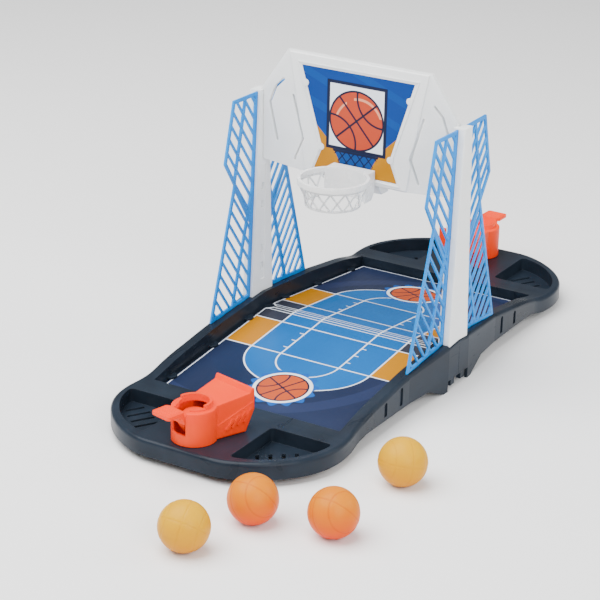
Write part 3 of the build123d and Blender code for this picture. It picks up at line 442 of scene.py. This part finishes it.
# ---- the balls ----
# Hollow blow-moulded balls, two yellow and two orange, with shallow sunk seams like a
# basketball's and a faint parting line where the two halves of the mould met.
def ball(name, centre, radius, turn):
    """Sphere on a grid of latitude and longitude: radius less 0.15 mm * exp(-(distance to the nearest
    seam / 0.45 mm) squared), plus a fine 0.05 mm ridge round the equator. Seams are two great circles
    and two small circles 50 degrees round one axis."""
    rows, columns = 150, 300
    latitude = np.linspace(-math.pi / 2, math.pi / 2, rows)[:, None]
    longitude = np.linspace(0, 2 * math.pi, columns + 1)[None, :]
    n = np.stack([np.cos(latitude) * np.cos(longitude), np.cos(latitude) * np.sin(longitude),
                  np.sin(latitude) * np.ones_like(longitude)], -1)
    turned = n @ np.array(Matrix.Rotation(turn[0], 3, "X") @ Matrix.Rotation(turn[1], 3, "Y"))
    a, b = np.clip(turned[..., 0], -1, 1), np.clip(turned[..., 1], -1, 1)
    circle = np.abs(np.arccos(np.abs(a)) - math.radians(50))
    seam = np.minimum(np.minimum(np.abs(np.arcsin(a)), np.abs(np.arcsin(b))), circle) * radius
    ridge = np.exp(-(n[..., 2] * radius / 0.25) ** 2)
    r = radius - 0.05 - 0.15 * np.exp(-(seam / 0.45) ** 2) + 0.05 * ridge
    piece = sheet_mesh(name, n * r[..., None] + np.array(centre), {"seam": seam})
    work = bmesh.new()
    work.from_mesh(piece.data)
    bmesh.ops.remove_doubles(work, verts=work.verts, dist=1e-7)
    bmesh.ops.recalc_face_normals(work, faces=work.faces)
    work.to_mesh(piece.data)
    work.free()
    return piece


def ball_plastic(name, lit_top, shaded_bottom, deep, seam_ink):
    """Blow-moulded polyethylene: painted light and shade, the colour paler at the top and deeper at the
    bottom by height above the floor with a random swirl in it, light scattering under the skin, seams a
    little darker, and a skin with the slight orange peel of a cooled mould."""
    m, shader = new_finish(name)
    place = add(m, "TexCoord").outputs["Object"]
    height = add(m, "SeparateXYZ", {0: place}).outputs[2]
    swirl = add(m, "TexNoise", {
        "Vector": place, "Scale": 90.0, "Detail": 3.0, "Distortion": 1.2}).outputs[0]
    # painted light and shade: colour runs from the shaded bottom 2 mm above the floor to the lit top at 24
    # mm, stirred by the swirl
    painted_light_and_swirl = add(m, "MapRange", {"Value": height, 1: 0.002, 2: 0.024, 3: 0.0, 4: 1.0}).outputs[0]
    painted_light_and_swirl = add(m, "Math", {0: swirl, 1: 0.35, 2: painted_light_and_swirl}, operation="MULTIPLY_ADD").outputs[0]
    painted_light_and_swirl = add(m, "Math", {0: painted_light_and_swirl, 1: 0.17}, operation="SUBTRACT", use_clamp=True).outputs[0]
    tint = add(m, "Mix", {0: painted_light_and_swirl, 6: ink(shaded_bottom), 7: ink(lit_top)}, data_type="RGBA").outputs[2]
    distance = add(m, "Attribute", attribute_name="seam").outputs["Fac"]
    line = add(m, "MapRange", {"Value": distance, 1: 0.15, 2: 0.75, 3: seam_ink, 4: 0.0}).outputs[0]
    tint = add(m, "Mix", {0: line, 6: tint, 7: ink(deep)}, data_type="RGBA").outputs[2]
    peel = add(m, "TexNoise", {"Vector": place, "Scale": 1000 / 1.4, "Detail": 1.0}).outputs[0]
    bump = add(m, "Bump", {"Strength": 0.25, "Distance": 0.00012, "Height": peel}).outputs[0]
    shine = add(m, "MapRange", {"Value": swirl, 1: 0.3, 2: 0.7, 3: 0.30, 4: 0.42}).outputs[0]
    m.node_tree.links.new(tint, shader.inputs["Base Color"])
    m.node_tree.links.new(shine, shader.inputs["Roughness"])
    m.node_tree.links.new(bump, shader.inputs["Normal"])
    shader.inputs["IOR"].default_value = 1.51
    shader.inputs["Specular IOR Level"].default_value = 0.1
    shader.inputs["Subsurface Weight"].default_value = 0.1
    shader.inputs["Subsurface Radius"].default_value = (1.0, 0.6, 0.2)
    shader.inputs["Subsurface Scale"].default_value = 0.003
    return m


# painted light: each ball's first colour is its lit top, the second its shaded bottom, the third its darker
# seams
yellow_plastic = ball_plastic("yellow_polyethylene_blow_moulded", "#d09a00", "#c47c00", "#a86c00", 0.12)
orange_plastic = ball_plastic("orange_polyethylene_blow_moulded", "#d07800", "#d03400", "#a42c00", 0.25)
ball_turns = {
    "ball_yellow_a": (0.9, 0.4), "ball_orange_a": (0.5, -0.6),
    "ball_orange_b": (0.62, -0.5), "ball_yellow_b": (1.3, 0.9),
}
for label, turn in ball_turns.items():
    low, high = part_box(label)
    middle = [1000 * (low[i] + high[i]) / 2 for i in range(3)]
    piece = ball(f"{label}_moulded", middle, 500 * (high[2] - low[2]), turn)
    piece.data.materials.append(yellow_plastic if "yellow" in label else orange_plastic)
    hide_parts(label)
    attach(piece, label)


# ---- the studio ----
# Plain pale floor, a large soft box overhead and to the left, weaker ones on the right and at the
# right rear, and a dim even surround; the camera looks down from the front player's right.
def soft_box(name, place, aim, size, power):
    """Square area light turned from its place toward its aim."""
    lamp = bpy.data.lights.new(name, "AREA")
    lamp.shape, lamp.size, lamp.energy = "SQUARE", size, power
    holder = bpy.data.objects.new(name, lamp)
    holder.location = place
    holder.rotation_euler = (Vector(aim) - Vector(place)).to_track_quat("-Z", "Y").to_euler()
    bpy.context.scene.collection.objects.link(holder)


floor_half = 4
floor_mesh = bpy.data.meshes.new("studio_floor")
floor_corners = [(x * floor_half, y * floor_half, 0) for x, y in ((-1, -1), (1, -1), (1, 1), (-1, 1))]
floor_mesh.from_pydata(floor_corners, [], [(0, 1, 2, 3)])
floor = bpy.data.objects.new("studio_floor", floor_mesh)
bpy.context.scene.collection.objects.link(floor)
floor_paint, floor_shader = new_finish("pale_matt_floor")
floor_shader.inputs["Base Color"].default_value = ink("#f6f6f6")
floor_shader.inputs["Roughness"].default_value = 0.9
floor_mesh.materials.append(floor_paint)

soft_box("overhead_box", (-0.35, -0.45, 1.3), (0, -0.05, 0), 1.5, 56)
soft_box("right_box", (1.2, -0.9, 0.8), (0, -0.05, 0.05), 1.0, 20)
soft_box("back_box", (1.3, 0.8, 0.9), (0, 0, 0.1), 0.9, 10)
surround = bpy.data.worlds.new("pale_surround")
surround.use_nodes = True
surround.node_tree.nodes["Background"].inputs[0].default_value = ink("#ffffff")
surround.node_tree.nodes["Background"].inputs[1].default_value = 0.30
bpy.context.scene.world = surround

camera_place, focal_length, film_width = (0.60126, -1.06539, 0.53458), 125.77, 36.0
yaw, pitch, roll = math.radians(31.0), math.radians(22.07), 0.0197
ahead = Vector((-math.sin(yaw) * math.cos(pitch), math.cos(yaw) * math.cos(pitch), -math.sin(pitch)))
right = ahead.cross(Vector((0, 0, 1))).normalized()
up = right.cross(ahead)
level_right, level_up = right, up
right = level_right * math.cos(roll) + level_up * math.sin(roll)
up = level_up * math.cos(roll) - level_right * math.sin(roll)
lens = bpy.data.cameras.new("camera")
lens.lens, lens.sensor_width = focal_length, film_width
camera = bpy.data.objects.new("camera", lens)
facing = Matrix((right, up, -ahead)).transposed().to_4x4()
camera.matrix_world = Matrix.Translation(camera_place) @ facing
bpy.context.scene.collection.objects.link(camera)
bpy.context.scene.camera = camera
